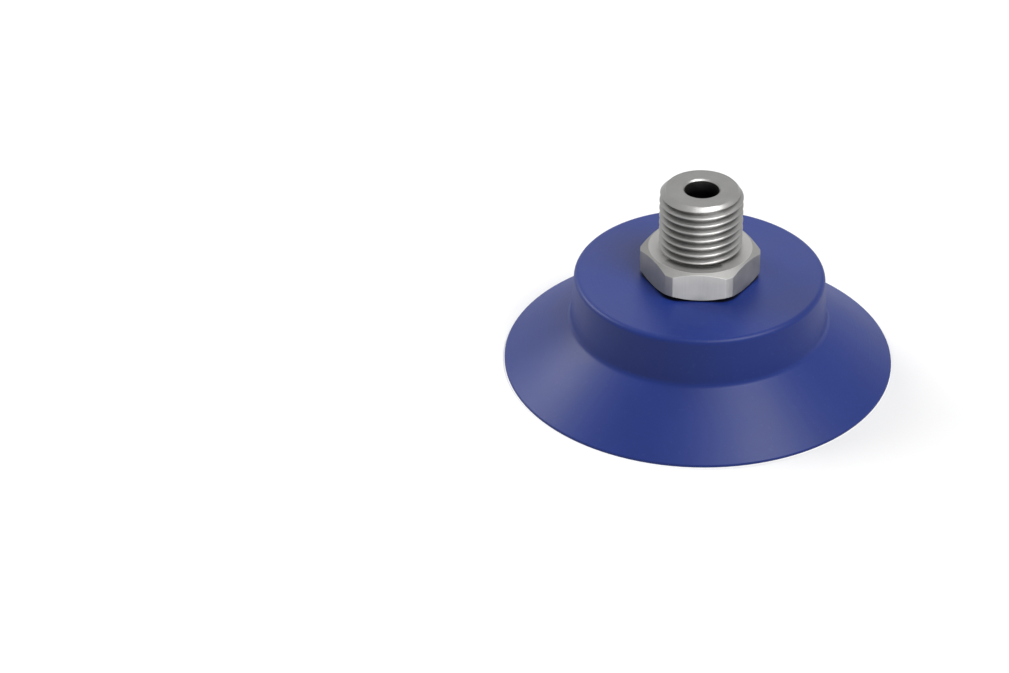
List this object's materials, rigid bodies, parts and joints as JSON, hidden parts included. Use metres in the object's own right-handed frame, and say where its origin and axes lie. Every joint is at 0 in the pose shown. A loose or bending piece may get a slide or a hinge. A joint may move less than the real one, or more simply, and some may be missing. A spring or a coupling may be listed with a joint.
{
  "type": "flat vacuum cup",
  "caption": "Flat round elastomer vacuum cup with a conical sealing lip, a drum body and a raised-pad support face, moulded round a hexagon nipple with an outside pipe thread and an air bore.",
  "frame": {"origin": "centre of the plane that the sealing lip rests on", "axes": "+Z along the axis, from the lip towards the threaded end; flats of the hexagon face +Y and -Y; the pads leave one channel on +X and one on -X"},
  "size_m": [0.0618, 0.0618, 0.0315],
  "materials": {
    "elastomer": "satin",
    "turned_metal": "turned"
  },
  "bodies": {
    "root": {"cup": "elastomer", "nipple": "turned_metal"}
  },
  "joints": []
}
